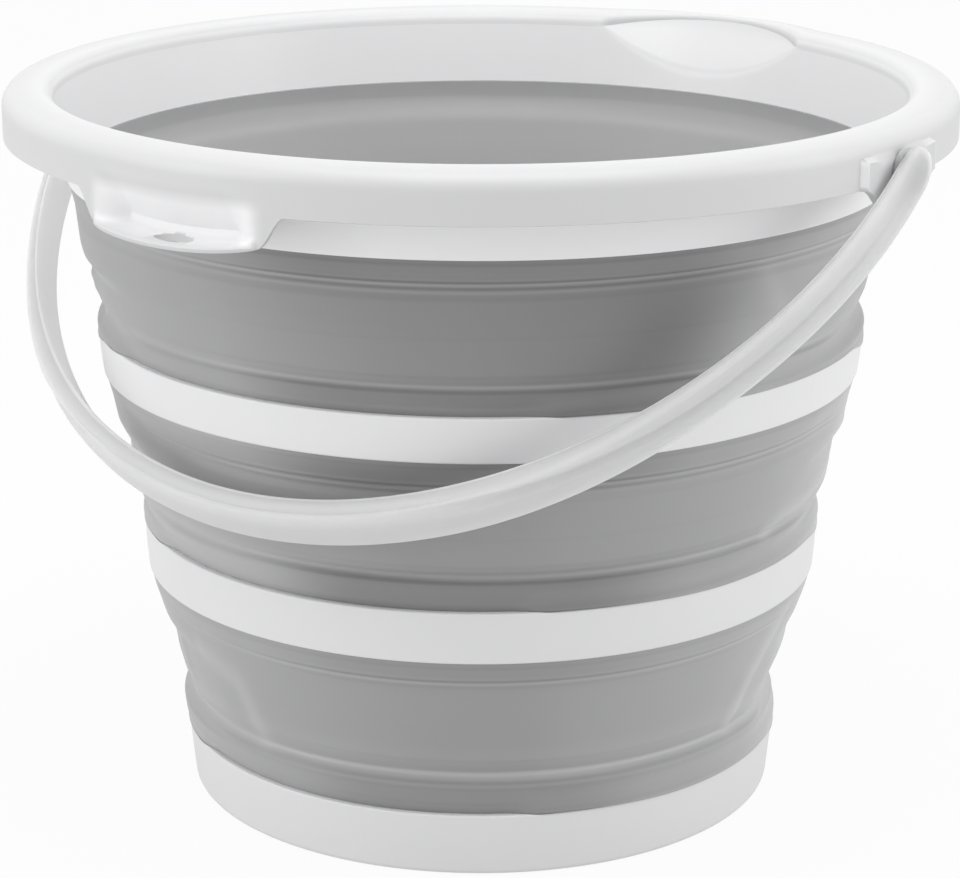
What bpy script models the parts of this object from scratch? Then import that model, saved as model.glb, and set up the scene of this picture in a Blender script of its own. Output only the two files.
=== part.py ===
"""Collapsible camp bucket: white moulded rim, rings and base joined by grey folding walls.

Metres, +Z up. The origin is the middle of the underside of the base. +X runs along the
handle's pivots, the hanging tab is at -Y and the pouring spout is at +Y.
"""
import math

import bmesh
import bpy
from mathutils import Matrix, Vector

# Facets round a full turn, the same on every turned piece so that their flats line up
TURN_STEPS = 56

# Radius of the foot, and how much wider each outer surface above it grows
FOOT_RADIUS = 0.1013
BASE_FLARE = 0.0021
LOWER_SPREAD = 0.0123
LOWER_RING_FLARE = 0.0010
MIDDLE_SPREAD = 0.0123
MIDDLE_RING_FLARE = 0.0013
UPPER_SPREAD = 0.0088
MOUTH_FLARE = 0.0035
RIM_WIDTH = 0.0169

# Heights of the pieces, from the floor up
BASE_HEIGHT = 0.0217
LOWER_SPAN = 0.0571
LOWER_RING_HEIGHT = 0.0174
MIDDLE_SPAN = 0.0528
MIDDLE_RING_HEIGHT = 0.0149
UPPER_SPAN = 0.0512
BAND_HEIGHT = 0.0149
SKIRT_HEIGHT = 0.0160

# Walls, laps and clearances
RIGID_WALL = 0.0026
SKIRT_WALL = 0.0022
FLOOR_WALL = 0.0028
SOFT_WALL = 0.0018
LAP_WALL = 0.0012
LAP_HEIGHT = 0.0048
SEAM_GAP = 0.0003
CUT_OVERRUN = 0.0030

# Rounds
FOOT_ROUND = 0.0022
LIP_ROUND = 0.0050
SKIRT_ROUND = 0.0060
SKIRT_EDGE = 0.0006

# Folds of the soft walls, and the share of the depth that the panels between them stand in
FOLD_DEPTH = 0.0030
PANEL_SHARE = 0.36

# Pouring spout
SPOUT_HALF_ANGLE = math.radians(17.0)
SPOUT_DEPTH = 0.0130
SPOUT_SLOPE = math.radians(43.0)
SPOUT_REACH = 0.0030

# Hanging tab
TAB_HALF_ANGLE = math.radians(11.5)
TAB_RUN_OUT = math.radians(3.4)
RUN_OUT_SHARE = 1.3
TAB_DROP = 0.0126
TAB_ARCH = 0.0025
TAB_REACH = 0.0035
TAB_UNDERCUT = 0.0085
TAB_PLATE = 0.0016
HANG_SLOT_WIDTH = 0.0145
HANG_SLOT_DEPTH = 0.0064
HANG_SLOT_MARGIN = 0.0032

# Flat pads that carry the handle's pivots
PAD_STANDOFF = 0.0010
PAD_HALF_WIDTH = 0.0210
PAD_STEP = 0.0009
PAD_DROP = 0.0070
PAD_RUN_OUT = 0.0110
PAD_WALL = 0.0028
PIVOT_DROP = 0.0125

# Handle, which clears the pads at its sides and the tab's tip as it swings past
HANDLE_SIDE_GAP = 0.0025
HANDLE_SWING_GAP = 0.0014
HANDLE_REST_GAP = 0.0009
GRIP_THICKNESS = 0.0082
LIMB_THICKNESS = 0.0043
HANDLE_BAND = 0.0150
HANDLE_EDGE = 0.0014
GROOVE_DEPTH = 0.0013
GROOVE_WIDTH = 0.0034
HANDLE_STEPS = 48
EAR_RADIUS = 0.0076
STUD_RADIUS = 0.0036
STUD_CLEARANCE = 0.0003
STUD_HEAD_RADIUS = 0.0048
STUD_HEAD_LENGTH = 0.0024

# Radii worked out from the sizes above
BASE_TOP_RADIUS = FOOT_RADIUS + BASE_FLARE
LOWER_RING_FOOT_RADIUS = BASE_TOP_RADIUS + LOWER_SPREAD
LOWER_RING_TOP_RADIUS = LOWER_RING_FOOT_RADIUS + LOWER_RING_FLARE
MIDDLE_RING_FOOT_RADIUS = LOWER_RING_TOP_RADIUS + MIDDLE_SPREAD
MIDDLE_RING_TOP_RADIUS = MIDDLE_RING_FOOT_RADIUS + MIDDLE_RING_FLARE
BAND_FOOT_RADIUS = MIDDLE_RING_TOP_RADIUS + UPPER_SPREAD
MOUTH_RADIUS = BAND_FOOT_RADIUS + MOUTH_FLARE
SKIRT_RADIUS = MOUTH_RADIUS + RIM_WIDTH
PAD_DISTANCE = SKIRT_RADIUS + PAD_STANDOFF
HANDLE_INNER_WIDTH = PAD_DISTANCE + HANDLE_SIDE_GAP
HANDLE_INNER_RADIUS = SKIRT_RADIUS + TAB_REACH + SKIRT_EDGE + HANDLE_SWING_GAP

# Heights worked out from the sizes above
LOWER_RING_FOOT = BASE_HEIGHT + LOWER_SPAN
LOWER_RING_TOP = LOWER_RING_FOOT + LOWER_RING_HEIGHT
MIDDLE_RING_FOOT = LOWER_RING_TOP + MIDDLE_SPAN
MIDDLE_RING_TOP = MIDDLE_RING_FOOT + MIDDLE_RING_HEIGHT
BAND_FOOT = MIDDLE_RING_TOP + UPPER_SPAN
SKIRT_FOOT = BAND_FOOT + BAND_HEIGHT
BUCKET_TOP = SKIRT_FOOT + SKIRT_HEIGHT
PIVOT_HEIGHT = BUCKET_TOP - PIVOT_DROP

WHITE_PLASTIC = ("white_polypropylene", (0.80, 0.81, 0.82), 0.32)
GREY_RUBBER = ("grey_soft_rubber", (0.33, 0.33, 0.34), 0.55)


def clear_scene():
    for old in list(bpy.data.objects):
        bpy.data.objects.remove(old, do_unlink=True)


def new_collection(name):
    collection = bpy.data.collections.new(name)
    bpy.context.scene.collection.children.link(collection)
    return collection


def material(finish):
    name, colour, roughness = finish
    found = bpy.data.materials.get(name)
    if found:
        return found
    made = bpy.data.materials.new(name)
    made.use_nodes = True
    shader = made.node_tree.nodes["Principled BSDF"]
    shader.inputs["Base Color"].default_value = (*colour, 1.0)
    shader.inputs["Roughness"].default_value = roughness
    shader.inputs["Metallic"].default_value = 0.0
    return made


def finish_object(obj, collection, finish):
    for holder in list(obj.users_collection):
        holder.objects.unlink(obj)
    collection.objects.link(obj)
    obj.data.materials.clear()
    obj.data.materials.append(material(finish))
    obj.data.shade_smooth()
    obj.data.set_sharp_from_angle(angle=math.radians(32.0))


def turned(name, profile, collection, finish, height):
    """Turns a closed profile, listed down its outer side and up its inner one, about Z."""
    mesh = bpy.data.meshes.new(name)
    points = [(radius, 0.0, level - height) for radius, level in profile]
    edges = [(i, (i + 1) % len(points)) for i in range(len(points))]
    mesh.from_pydata(points, edges, [])
    obj = bpy.data.objects.new(name, mesh)
    bpy.context.scene.collection.objects.link(obj)
    obj.location = (0.0, 0.0, height)
    screw = obj.modifiers.new("turn", "SCREW")
    screw.axis = "Z"
    screw.steps = TURN_STEPS
    screw.render_steps = TURN_STEPS
    screw.use_merge_vertices = True
    screw.merge_threshold = 0.00001
    finish_object(obj, collection, finish)
    return obj


def mesh_object(name, rings, collection, finish, closed):
    """Lofts skin between rings of points; an open run of rings is capped at both ends."""
    bm = bmesh.new()
    rows = [[bm.verts.new(point) for point in ring] for ring in rings]
    count = len(rows[0])
    last = len(rows) if closed else len(rows) - 1
    for i in range(last):
        here, there = rows[i], rows[(i + 1) % len(rows)]
        for j in range(count):
            k = (j + 1) % count
            bm.faces.new((here[j], here[k], there[k], there[j]))
    if not closed:
        bm.faces.new(rows[0])
        bm.faces.new(list(reversed(rows[-1])))
    bmesh.ops.recalc_face_normals(bm, faces=bm.faces)
    mesh = bpy.data.meshes.new(name)
    bm.to_mesh(mesh)
    bm.free()
    obj = bpy.data.objects.new(name, mesh)
    bpy.context.scene.collection.objects.link(obj)
    finish_object(obj, collection, finish)
    return obj


def add_boolean(obj, tool, operation):
    cut = obj.modifiers.new(f"{operation.lower()}_{tool.name}", "BOOLEAN")
    cut.operation = operation
    cut.solver = "EXACT"
    cut.object = tool


def hide_tool(obj, collection):
    for holder in list(obj.users_collection):
        holder.objects.unlink(obj)
    collection.objects.link(obj)
    obj.display_type = "WIRE"
    obj.hide_render = True


def soft_step(share):
    """Runs smoothly from 0 to 1 as share runs from 0 to 1."""
    share = min(max(share, 0.0), 1.0)
    return share * share * (3.0 - 2.0 * share)


def arc(centre_r, centre_z, width, height, start, end, count):
    """Points on an elliptical arc in the half section, angles in degrees."""
    points = []
    for i in range(count):
        angle = math.radians(start + (end - start) * i / (count - 1))
        points.append((centre_r + width * math.cos(angle), centre_z + height * math.sin(angle)))
    return points


# Shares along a soft wall from its upper ring to its lower one, with the share of the fold's
# depth that the outer surface stands in from the straight cone there
FOLD_SHARES = (
    (0.03, 0.00), (0.11, 0.08), (0.160, 0.65), (0.190, 1.00), (0.225, 0.62), (0.42, PANEL_SHARE),
    (0.66, 0.44), (0.755, 0.72), (0.79, 1.15), (0.83, 0.62), (0.93, 0.04),
)
INNER_FOLD_SHARES = ((0.03, 0.00), (0.190, 1.00), (0.45, PANEL_SHARE), (0.79, 1.12), (0.95, 0.04))


def soft_wall_profile(upper, lower, upper_lap, lower_lap):
    """Section of one folding wall between two rigid rings, with a bead in each ring's lap."""
    (upper_r, upper_z), (lower_r, lower_z) = upper, lower
    upper_z -= SEAM_GAP
    lower_z += SEAM_GAP
    upper_r -= SEAM_GAP
    lower_r -= SEAM_GAP

    def on_wall(share, depth, inset):
        radius = upper_r + (lower_r - upper_r) * share - FOLD_DEPTH * depth - inset
        return (radius, upper_z + (lower_z - upper_z) * share)

    outside = [(upper_r, upper_z)]
    outside += [on_wall(share, depth, 0.0) for share, depth in FOLD_SHARES]
    outside += [(lower_r, lower_z)]
    upper_bead, lower_bead = upper_lap - SEAM_GAP, lower_lap - SEAM_GAP
    lower_end = lower_z - LAP_HEIGHT + SEAM_GAP
    upper_end = upper_z + LAP_HEIGHT - SEAM_GAP
    bottom = [(lower_bead, lower_z), (lower_bead, lower_end), (lower_bead - LAP_WALL, lower_end)]
    inside = [on_wall(share, depth, SOFT_WALL) for share, depth in reversed(INNER_FOLD_SHARES)]
    top = [(upper_bead - LAP_WALL, upper_end), (upper_bead, upper_end), (upper_bead, upper_z)]
    return outside + bottom + inside + top


def ring_profile(foot_r, foot_z, top_r, top_z):
    """Section of a rigid ring: an outer band with a rib inside, and a lap above and below it."""
    def lap_radius(outer):
        return outer - (RIGID_WALL - LAP_WALL)

    upper_rib, lower_rib = top_z - LAP_HEIGHT, foot_z + LAP_HEIGHT
    return [
        (top_r, top_z - SKIRT_EDGE), (foot_r, foot_z + SKIRT_EDGE), (foot_r - SKIRT_EDGE, foot_z),
        (lap_radius(foot_r), foot_z), (lap_radius(foot_r), lower_rib),
        (foot_r - RIGID_WALL - SEAM_GAP, lower_rib), (top_r - RIGID_WALL - SEAM_GAP, upper_rib),
        (lap_radius(top_r), upper_rib), (lap_radius(top_r), top_z), (top_r - SKIRT_EDGE, top_z),
    ]


def lap_of(outer_radius):
    return outer_radius - (RIGID_WALL - LAP_WALL)


def base_profile():
    """Section of the base cup, with its flat floor and a lap inside its upper edge."""
    lap = lap_of(BASE_TOP_RADIUS)
    inner_top = BASE_TOP_RADIUS - RIGID_WALL - SEAM_GAP
    inner_foot = FOOT_RADIUS - RIGID_WALL
    foot = arc(FOOT_RADIUS - FOOT_ROUND, FOOT_ROUND, FOOT_ROUND, FOOT_ROUND, 0.0, -90.0, 4)
    return (
        [(BASE_TOP_RADIUS - SKIRT_EDGE, BASE_HEIGHT), (BASE_TOP_RADIUS, BASE_HEIGHT - SKIRT_EDGE)]
        + foot
        + [(0.0, 0.0), (0.0, FLOOR_WALL), (inner_foot - FOOT_ROUND, FLOOR_WALL)]
        + [(inner_foot, FLOOR_WALL + FOOT_ROUND), (inner_top, BASE_HEIGHT - LAP_HEIGHT)]
        + [(lap, BASE_HEIGHT - LAP_HEIGHT), (lap, BASE_HEIGHT)]
    )


def wrapped(angle):
    return math.atan2(math.sin(angle), math.cos(angle))


def spout_share(azimuth):
    """How deep the spout is cut at this azimuth, 1 at its middle and 0 past its edges."""
    offset = abs(wrapped(azimuth - math.pi / 2)) / SPOUT_HALF_ANGLE
    return max(0.0, 1.0 - offset * offset)


def tab_offset(azimuth):
    """Angle from the tab's middle, as a share of the tab's half angle."""
    return abs(wrapped(azimuth + math.pi / 2)) / TAB_HALF_ANGLE


def tab_share(azimuth):
    """Share of the tab's drop: whole on the tab, and fading out along a hollow curve past it."""
    past = (tab_offset(azimuth) - 1.0) * TAB_HALF_ANGLE / TAB_RUN_OUT
    return (1.0 - min(max(past, 0.0), 1.0)) ** RUN_OUT_SHARE


def tab_lip_share(azimuth):
    return max(0.0, 1.0 - tab_offset(azimuth) ** 4) ** 0.5


def pad_offset(azimuth):
    """Distance along the rim from the nearer pivot, measured square to the pivot axis."""
    return abs(PAD_DISTANCE * math.sin(azimuth))


def on_pad(azimuth):
    return pad_offset(azimuth) <= PAD_HALF_WIDTH + SEAM_GAP / 10


def pad_drop_share(azimuth):
    outside = pad_offset(azimuth) - PAD_HALF_WIDTH
    return soft_step(1.0 - (outside + PAD_RUN_OUT) / PAD_RUN_OUT)


def mouth_wall_radius(level):
    """Inner wall of the rim, a cone from the lap up to the start of the rounded lip."""
    foot = BAND_FOOT_RADIUS - RIGID_WALL
    lip_start = BUCKET_TOP - LIP_ROUND
    return foot + (MOUTH_RADIUS - foot) * (level - BAND_FOOT) / (lip_start - BAND_FOOT)


def rim_section(azimuth):
    """Closed half section of the rim, which changes along the spout, the tab and the pads."""
    spout = spout_share(azimuth)
    tab = tab_share(azimuth)
    lip = tab_lip_share(azimuth)
    lip_start = BUCKET_TOP - LIP_ROUND
    start_z = lip_start - SPOUT_DEPTH * spout
    start_r = mouth_wall_radius(start_z)
    ramp_z = lip_start + LIP_ROUND * 0.6 * spout
    ramp_r = start_r + (ramp_z - start_z) / math.tan(SPOUT_SLOPE)
    lip_width = LIP_ROUND * (1.0 - 0.45 * spout)
    outer_r = SKIRT_RADIUS + SPOUT_REACH * spout
    round_width = SKIRT_ROUND * (1.0 - 0.5 * spout)
    round_z = BUCKET_TOP - SKIRT_ROUND

    def top_surface(radius):
        if radius <= ramp_r:
            return start_z + (radius - start_r) * math.tan(SPOUT_SLOPE)
        if radius <= ramp_r + lip_width:
            share = 1.0 - (radius - ramp_r) / lip_width
            return ramp_z + (BUCKET_TOP - ramp_z) * math.sqrt(1.0 - share * share)
        if radius >= outer_r - round_width:
            share = (radius - outer_r + round_width) / round_width
            return round_z + SKIRT_ROUND * math.sqrt(max(0.0, 1.0 - share * share))
        return BUCKET_TOP

    # Underside of the top, a wall's thickness below it
    cavity_r = start_r + RIGID_WALL
    skirt_in_r = outer_r - SKIRT_WALL
    slant = 1.0 + (1.0 / math.cos(SPOUT_SLOPE) - 1.0) * min(1.0, 4.0 * spout)
    under = []
    for i in range(4):
        radius = cavity_r + (skirt_in_r - cavity_r) * i / 3
        drop = RIGID_WALL * (slant if radius <= ramp_r else 1.0)
        under.append((radius, top_surface(radius) - drop))

    # Skirt, which drops at the tab and at the pads, and turns out into the tab's plate
    tab_drop = TAB_DROP - TAB_ARCH * min(1.0, tab_offset(azimuth) ** 2)
    foot_z = SKIRT_FOOT - tab_drop * tab - PAD_DROP * pad_drop_share(azimuth)
    face_r = SKIRT_RADIUS
    wall = SKIRT_WALL
    if on_pad(azimuth):
        face_r = PAD_DISTANCE / abs(math.cos(azimuth))
        wall = PAD_WALL
    root_r = face_r - TAB_UNDERCUT * lip
    tip_r = face_r + (TAB_REACH + SKIRT_EDGE) * lip
    plate = SKIRT_EDGE + (TAB_PLATE - SKIRT_EDGE) * lip
    fall = round_z - foot_z
    face = [
        (face_r, round_z - max(PAD_STEP, fall * 0.12)),
        (face_r - TAB_UNDERCUT * 0.42 * lip, round_z - fall * 0.45),
        (root_r, foot_z + plate + fall * 0.16),
        (root_r + SKIRT_EDGE * lip, foot_z + plate + (fall * 0.08) * (1.0 - lip) + SKIRT_EDGE * lip),
        (tip_r, foot_z + plate),
        (tip_r - SKIRT_EDGE * (1.0 - lip), foot_z),
    ]
    back = [
        (root_r - wall, foot_z),
        (root_r - wall, foot_z + plate + fall * 0.16),
        (face_r - TAB_UNDERCUT * 0.42 * lip - wall, round_z - fall * 0.45),
    ]

    # Walk down the outside, in under the skirt, down the band and up the mouth
    outer_round = arc(outer_r - round_width, round_z, round_width, SKIRT_ROUND, 90.0, 0.0, 4)
    lip_round = arc(ramp_r + lip_width, ramp_z, lip_width, BUCKET_TOP - ramp_z, 180.0, 90.0, 4)
    lap = lap_of(BAND_FOOT_RADIUS)
    lap_top = BAND_FOOT + LAP_HEIGHT
    bead_face = mouth_wall_radius(lap_top)
    return (
        outer_round + face + back + list(reversed(under))
        + [(BAND_FOOT_RADIUS, BAND_FOOT + SKIRT_EDGE), (BAND_FOOT_RADIUS - SKIRT_EDGE, BAND_FOOT)]
        + [(lap, BAND_FOOT), (lap, lap_top), (bead_face, lap_top), (start_r, start_z)]
        + lip_round[:-1]
    )


def rim_azimuths():
    """Even steps round the rim, with closer ones where its section changes quickly."""
    angles = {round(2.0 * math.pi * i / TURN_STEPS, 6) for i in range(TURN_STEPS)}
    pad_end = math.asin(PAD_HALF_WIDTH / PAD_DISTANCE)
    step = math.asin((PAD_HALF_WIDTH + PAD_STEP) / PAD_DISTANCE)
    for middle in (0.0, math.pi):
        for side in (-1.0, 1.0):
            angles.update(round(middle + side * a, 6) for a in (pad_end * 0.5, pad_end, step))
    for side in (-1.0, 1.0):
        for share in (0.25, 0.6, 0.85, 1.0):
            angles.add(round(math.pi / 2 + side * SPOUT_HALF_ANGLE * share, 6))
        for offset in (TAB_HALF_ANGLE * 0.3, TAB_HALF_ANGLE * 0.6, TAB_HALF_ANGLE * 0.9, TAB_HALF_ANGLE):
            angles.add(round(-math.pi / 2 + side * offset, 6))
        for share in (0.2, 0.45, 0.7, 1.0):
            angles.add(round(-math.pi / 2 + side * (TAB_HALF_ANGLE + TAB_RUN_OUT * share), 6))
    turned_once = sorted(a % (2.0 * math.pi) for a in angles)
    kept = [turned_once[0]]
    for angle in turned_once[1:]:
        if angle - kept[-1] > math.radians(0.25):
            kept.append(angle)
    return kept


def make_rim(parts, tools):
    rings = []
    for azimuth in rim_azimuths():
        direction = Vector((math.cos(azimuth), math.sin(azimuth), 0.0))
        section = rim_section(azimuth)
        rings.append([direction * r + Vector((0.0, 0.0, z - SKIRT_FOOT)) for r, z in section])
    rim = mesh_object("rim", rings, parts, WHITE_PLASTIC, closed=True)
    rim.location = (0.0, 0.0, SKIRT_FOOT)

    # Pivot holes through both pads
    length = PAD_WALL + 2.0 * CUT_OVERRUN
    for side in (-1.0, 1.0):
        bpy.ops.mesh.primitive_cylinder_add(
            vertices=20, radius=STUD_RADIUS + STUD_CLEARANCE, depth=length,
            location=(side * (PAD_DISTANCE - PAD_WALL / 2), 0.0, PIVOT_HEIGHT),
            rotation=(0.0, math.pi / 2, 0.0))
        hole = bpy.context.object
        hole.name = f"pivot_hole_{'right' if side > 0 else 'left'}"
        hide_tool(hole, tools)
        add_boolean(rim, hole, "DIFFERENCE")

    # Hanging slot through the tab's plate
    tip = SKIRT_RADIUS + TAB_REACH
    slot_middle = tip - HANG_SLOT_MARGIN - HANG_SLOT_DEPTH / 2
    plate_top = SKIRT_FOOT - TAB_DROP + TAB_PLATE
    bpy.ops.mesh.primitive_cylinder_add(
        vertices=24, radius=HANG_SLOT_DEPTH / 2, depth=TAB_PLATE + 2.0 * SKIRT_EDGE,
        location=(0.0, -slot_middle, plate_top - TAB_PLATE / 2))
    slot = bpy.context.object
    slot.name = "hanging_slot"
    slot.data.transform(Matrix.Diagonal((HANG_SLOT_WIDTH / HANG_SLOT_DEPTH, 1.0, 1.0, 1.0)))
    hide_tool(slot, tools)
    add_boolean(rim, slot, "DIFFERENCE")
    return rim


def side_radius(level):
    """Radius of the bucket's side at a height; the soft spans stand in by their panels' depth."""
    panel = FOLD_DEPTH * PANEL_SHARE
    spans = (
        (0.0, FOOT_RADIUS, BASE_HEIGHT, BASE_TOP_RADIUS, 0.0),
        (BASE_HEIGHT, BASE_TOP_RADIUS, LOWER_RING_FOOT, LOWER_RING_FOOT_RADIUS, panel),
        (LOWER_RING_FOOT, LOWER_RING_FOOT_RADIUS, LOWER_RING_TOP, LOWER_RING_TOP_RADIUS, 0.0),
        (LOWER_RING_TOP, LOWER_RING_TOP_RADIUS, MIDDLE_RING_FOOT, MIDDLE_RING_FOOT_RADIUS, panel),
        (MIDDLE_RING_FOOT, MIDDLE_RING_FOOT_RADIUS, MIDDLE_RING_TOP, MIDDLE_RING_TOP_RADIUS, 0.0),
        (MIDDLE_RING_TOP, MIDDLE_RING_TOP_RADIUS, BAND_FOOT, BAND_FOOT_RADIUS, panel),
        (BAND_FOOT, BAND_FOOT_RADIUS, SKIRT_FOOT, MOUTH_RADIUS, 0.0),
    )
    for low, low_r, high, high_r, inset in spans:
        if level <= high:
            return low_r + (high_r - low_r) * (level - low) / (high - low) - inset
    return MOUTH_RADIUS


def rest_clearance(lean):
    """Least distance from the hoop's inner face to the bucket's side at a lean."""
    least = HANDLE_INNER_RADIUS
    for i in range(HANDLE_STEPS + 1):
        angle = math.pi * (i / HANDLE_STEPS - 0.5)
        for across in (-HANDLE_BAND / 2, HANDLE_BAND / 2):
            drop = HANDLE_INNER_RADIUS * math.cos(angle)
            out = across * math.cos(lean) - drop * math.sin(lean)
            level = PIVOT_HEIGHT - across * math.sin(lean) - drop * math.cos(lean)
            gap = math.hypot(HANDLE_INNER_WIDTH * math.sin(angle), out) - side_radius(level)
            least = min(least, gap)
    return least


def handle_lean():
    """Lean from hanging straight down at which the hoop comes to rest against the side."""
    low, high = 0.0, math.pi / 2
    while high - low > 0.00001:
        middle = (low + high) / 2
        if rest_clearance(middle) < HANDLE_REST_GAP:
            low = middle
        else:
            high = middle
    return high


def handle_section(share, thickness):
    """Section of the strap: x runs out from the hoop and y across the band."""
    half, edge = HANDLE_BAND / 2, HANDLE_EDGE
    groove = GROOVE_DEPTH * soft_step((0.70 - abs(share)) / 0.16)
    inner, outer = 0.0, thickness
    middle = half * 0.30
    return [
        (inner, -half + edge), (inner, half - edge), (inner + edge, half), (outer - edge, half),
        (outer, half - edge), (outer, middle + GROOVE_WIDTH / 2), (outer - groove, middle),
        (outer, middle - GROOVE_WIDTH / 2), (outer, -half + edge), (outer - edge, -half),
        (inner + edge, -half),
    ]


def make_handle(parts, tools):
    """Hoop with a grooved grip, whose ears carry snap studs that turn in the rim's pads."""
    rings = []
    for i in range(HANDLE_STEPS + 1):
        share = -1.0 + 2.0 * i / HANDLE_STEPS
        angle = share * math.pi / 2
        grip = soft_step((0.72 - abs(share)) / 0.45)
        thickness = LIMB_THICKNESS + (GRIP_THICKNESS - LIMB_THICKNESS) * grip
        centre = Vector((HANDLE_INNER_WIDTH * math.sin(angle), 0.0,
                         -HANDLE_INNER_RADIUS * math.cos(angle)))
        outward = Vector((HANDLE_INNER_RADIUS * math.sin(angle), 0.0,
                          -HANDLE_INNER_WIDTH * math.cos(angle))).normalized()
        across = Vector((0.0, -1.0, 0.0))
        section = handle_section(share, thickness)
        rings.append([centre + outward * x + across * y for x, y in section])
    handle = mesh_object("handle", rings, parts, WHITE_PLASTIC, closed=False)

    hub_face = PAD_DISTANCE + SEAM_GAP
    ear_face = HANDLE_INNER_WIDTH + LIMB_THICKNESS
    head_face = PAD_DISTANCE - PAD_WALL - SEAM_GAP
    head_end = head_face - STUD_HEAD_LENGTH
    ear_profile = [
        (0.0, ear_face), (EAR_RADIUS - HANDLE_EDGE, ear_face), (EAR_RADIUS, ear_face - HANDLE_EDGE),
        (EAR_RADIUS, hub_face), (STUD_RADIUS, hub_face), (STUD_RADIUS, head_face),
        (STUD_HEAD_RADIUS, head_face), (STUD_RADIUS, head_end), (0.0, head_end),
    ]
    for side in (-1.0, 1.0):
        ear = turned(f"ear_{'right' if side > 0 else 'left'}", ear_profile, tools,
                     WHITE_PLASTIC, 0.0)
        ear.modifiers["turn"].steps = 20
        ear.modifiers["turn"].render_steps = 20
        ear.rotation_euler = (0.0, side * math.pi / 2, 0.0)
        hide_tool(ear, tools)
        add_boolean(handle, ear, "UNION")
    return handle


def build():
    clear_scene()
    parts = new_collection("collapsible_camp_bucket")
    tools = new_collection("cutters")

    turned("base", base_profile(), parts, WHITE_PLASTIC, 0.0)
    turned("lower_ring", ring_profile(LOWER_RING_FOOT_RADIUS, LOWER_RING_FOOT,
                                      LOWER_RING_TOP_RADIUS, LOWER_RING_TOP),
           parts, WHITE_PLASTIC, LOWER_RING_FOOT)
    turned("middle_ring", ring_profile(MIDDLE_RING_FOOT_RADIUS, MIDDLE_RING_FOOT,
                                       MIDDLE_RING_TOP_RADIUS, MIDDLE_RING_TOP),
           parts, WHITE_PLASTIC, MIDDLE_RING_FOOT)

    turned("lower_wall", soft_wall_profile(
        (LOWER_RING_FOOT_RADIUS, LOWER_RING_FOOT), (BASE_TOP_RADIUS, BASE_HEIGHT),
        lap_of(LOWER_RING_FOOT_RADIUS), lap_of(BASE_TOP_RADIUS)),
        parts, GREY_RUBBER, BASE_HEIGHT)
    turned("middle_wall", soft_wall_profile(
        (MIDDLE_RING_FOOT_RADIUS, MIDDLE_RING_FOOT), (LOWER_RING_TOP_RADIUS, LOWER_RING_TOP),
        lap_of(MIDDLE_RING_FOOT_RADIUS), lap_of(LOWER_RING_TOP_RADIUS)),
        parts, GREY_RUBBER, LOWER_RING_TOP)
    turned("upper_wall", soft_wall_profile(
        (BAND_FOOT_RADIUS, BAND_FOOT), (MIDDLE_RING_TOP_RADIUS, MIDDLE_RING_TOP),
        lap_of(BAND_FOOT_RADIUS), lap_of(MIDDLE_RING_TOP_RADIUS)),
        parts, GREY_RUBBER, MIDDLE_RING_TOP)

    make_rim(parts, tools)

    pivot = bpy.data.objects.new("handle_pivot", None)
    parts.objects.link(pivot)
    pivot.location = (0.0, 0.0, PIVOT_HEIGHT)
    pivot.rotation_euler = (-handle_lean(), 0.0, 0.0)
    handle = make_handle(parts, tools)
    handle.parent = pivot
    for tool in tools.objects:
        if tool.name.startswith("ear_"):
            tool.parent = pivot
    bpy.context.view_layer.update()


build()
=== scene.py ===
import math

import bmesh
import bpy
import numpy as np
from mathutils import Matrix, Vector


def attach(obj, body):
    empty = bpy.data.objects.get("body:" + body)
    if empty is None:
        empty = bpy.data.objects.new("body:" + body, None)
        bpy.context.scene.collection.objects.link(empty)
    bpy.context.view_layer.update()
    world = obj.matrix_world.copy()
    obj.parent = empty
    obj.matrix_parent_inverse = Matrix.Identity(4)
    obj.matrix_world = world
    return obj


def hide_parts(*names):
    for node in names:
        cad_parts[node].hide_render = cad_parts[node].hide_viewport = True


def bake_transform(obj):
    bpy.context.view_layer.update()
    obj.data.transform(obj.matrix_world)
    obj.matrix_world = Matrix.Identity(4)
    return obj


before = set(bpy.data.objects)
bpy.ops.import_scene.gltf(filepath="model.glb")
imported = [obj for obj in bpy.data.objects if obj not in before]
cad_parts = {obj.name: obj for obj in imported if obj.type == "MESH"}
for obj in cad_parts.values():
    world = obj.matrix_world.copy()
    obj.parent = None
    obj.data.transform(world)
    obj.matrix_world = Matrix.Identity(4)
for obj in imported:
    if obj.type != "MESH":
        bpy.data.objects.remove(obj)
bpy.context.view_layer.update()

# Sizes of the bucket in metres, as in the solids: R is a radius, Z a height
FOOT_R, BASE_TOP_R, BASE_H = 0.1013, 0.1034, 0.0217
LOW_FOOT_R, LOW_FOOT_Z, LOW_TOP_R, LOW_TOP_Z = 0.1157, 0.0788, 0.1167, 0.0962
MID_FOOT_R, MID_FOOT_Z, MID_TOP_R, MID_TOP_Z = 0.1290, 0.1490, 0.1303, 0.1639
BAND_R, BAND_Z, SKIRT_R, SKIRT_Z, TOP_Z = 0.1391, 0.2151, 0.1595, 0.2300, 0.2460
MOUTH_R = 0.1426
WALL, SKIRT_WALL, SOFT_WALL, FLOOR_WALL = 0.0026, 0.0022, 0.0018, 0.0028
LIP_ROUND, SKIRT_ROUND, EDGE, FILLET = 0.0050, 0.0060, 0.0006, 0.0030
SPOUT_HALF, SPOUT_SLOPE = math.radians(17), math.radians(43)
SPOUT_DEPTH, SPOUT_REACH = 0.0130, 0.0030
TAB_HALF, TAB_RUN = math.radians(11.5), math.radians(3.4)
TAB_DROP, TAB_ARCH = 0.0126, 0.0025
TAB_REACH, TAB_UNDERCUT, TAB_PLATE = 0.0035, 0.0072, 0.0016
SLOT_W, SLOT_D, SLOT_MARGIN = 0.0145, 0.0064, 0.0032
PAD_X, PAD_HALF, PAD_STEP = 0.1605, 0.0210, 0.0009
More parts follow.
